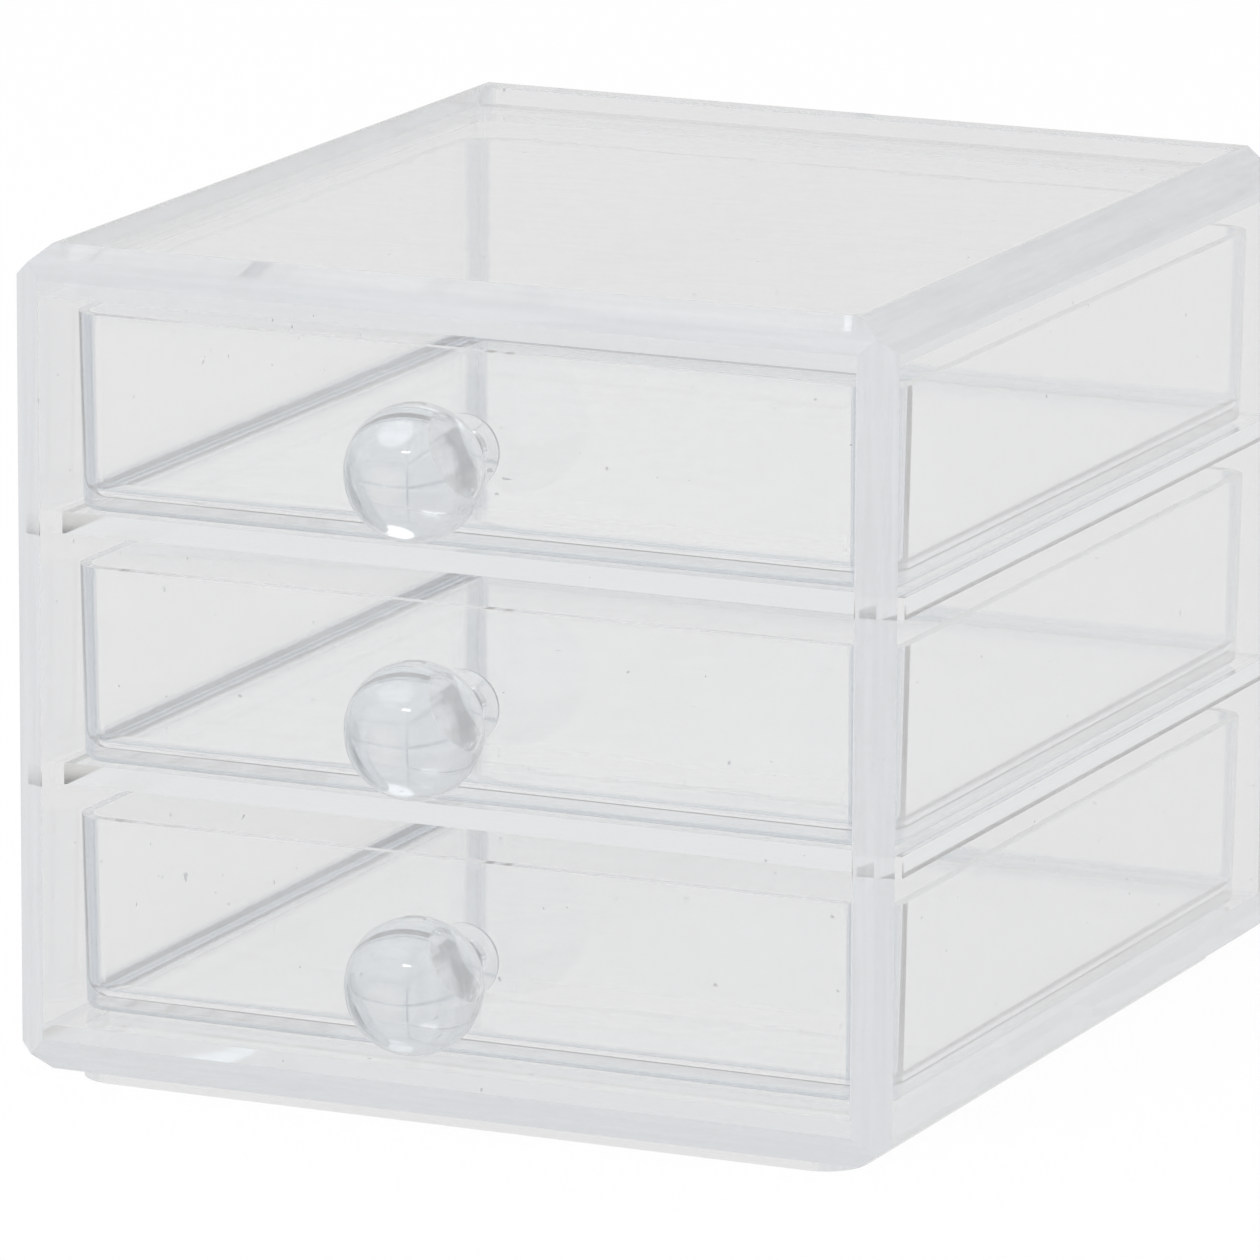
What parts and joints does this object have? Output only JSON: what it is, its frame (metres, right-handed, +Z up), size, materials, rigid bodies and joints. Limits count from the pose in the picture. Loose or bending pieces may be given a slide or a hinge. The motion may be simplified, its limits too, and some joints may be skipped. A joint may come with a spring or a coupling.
{
  "type": "acrylic drawer organiser",
  "caption": "Clear acrylic tabletop organiser: bevelled case with shelves, sliding tray drawers, ball knobs and a stacking recess.",
  "frame": {"origin": "on the table, under the middle of the whole object's bounding box, knobs included", "axes": "+Z up, +Y to the rear of the case, +X to the right as seen from the front; the drawers open along -Y"},
  "size_m": [0.165, 0.2032, 0.1485],
  "materials": {
    "clear_acrylic": "gloss",
    "drawer_acrylic": "gloss",
    "knob_acrylic": "gloss"
  },
  "bodies": {
    "case": {"case_shell": "clear_acrylic", "back_panel": "clear_acrylic", "stacking_plinth": "clear_acrylic", "lower_shelf": "clear_acrylic", "upper_shelf": "clear_acrylic"},
    "bottom_tray": {"bottom_drawer": "drawer_acrylic", "bottom_knob": "knob_acrylic"},
    "middle_tray": {"middle_drawer": "drawer_acrylic", "middle_knob": "knob_acrylic"},
    "top_tray": {"top_drawer": "drawer_acrylic", "top_knob": "knob_acrylic"}
  },
  "joints": [
    {"name": "bottom_drawer_slide", "type": "slide", "parent": "case", "child": "bottom_tray", "axis": [0, -1, 0], "range_m": [0, 0.13]},
    {"name": "middle_drawer_slide", "type": "slide", "parent": "case", "child": "middle_tray", "axis": [0, -1, 0], "range_m": [0, 0.13]},
    {"name": "top_drawer_slide", "type": "slide", "parent": "case", "child": "top_tray", "axis": [0, -1, 0], "range_m": [0, 0.13]}
  ]
}
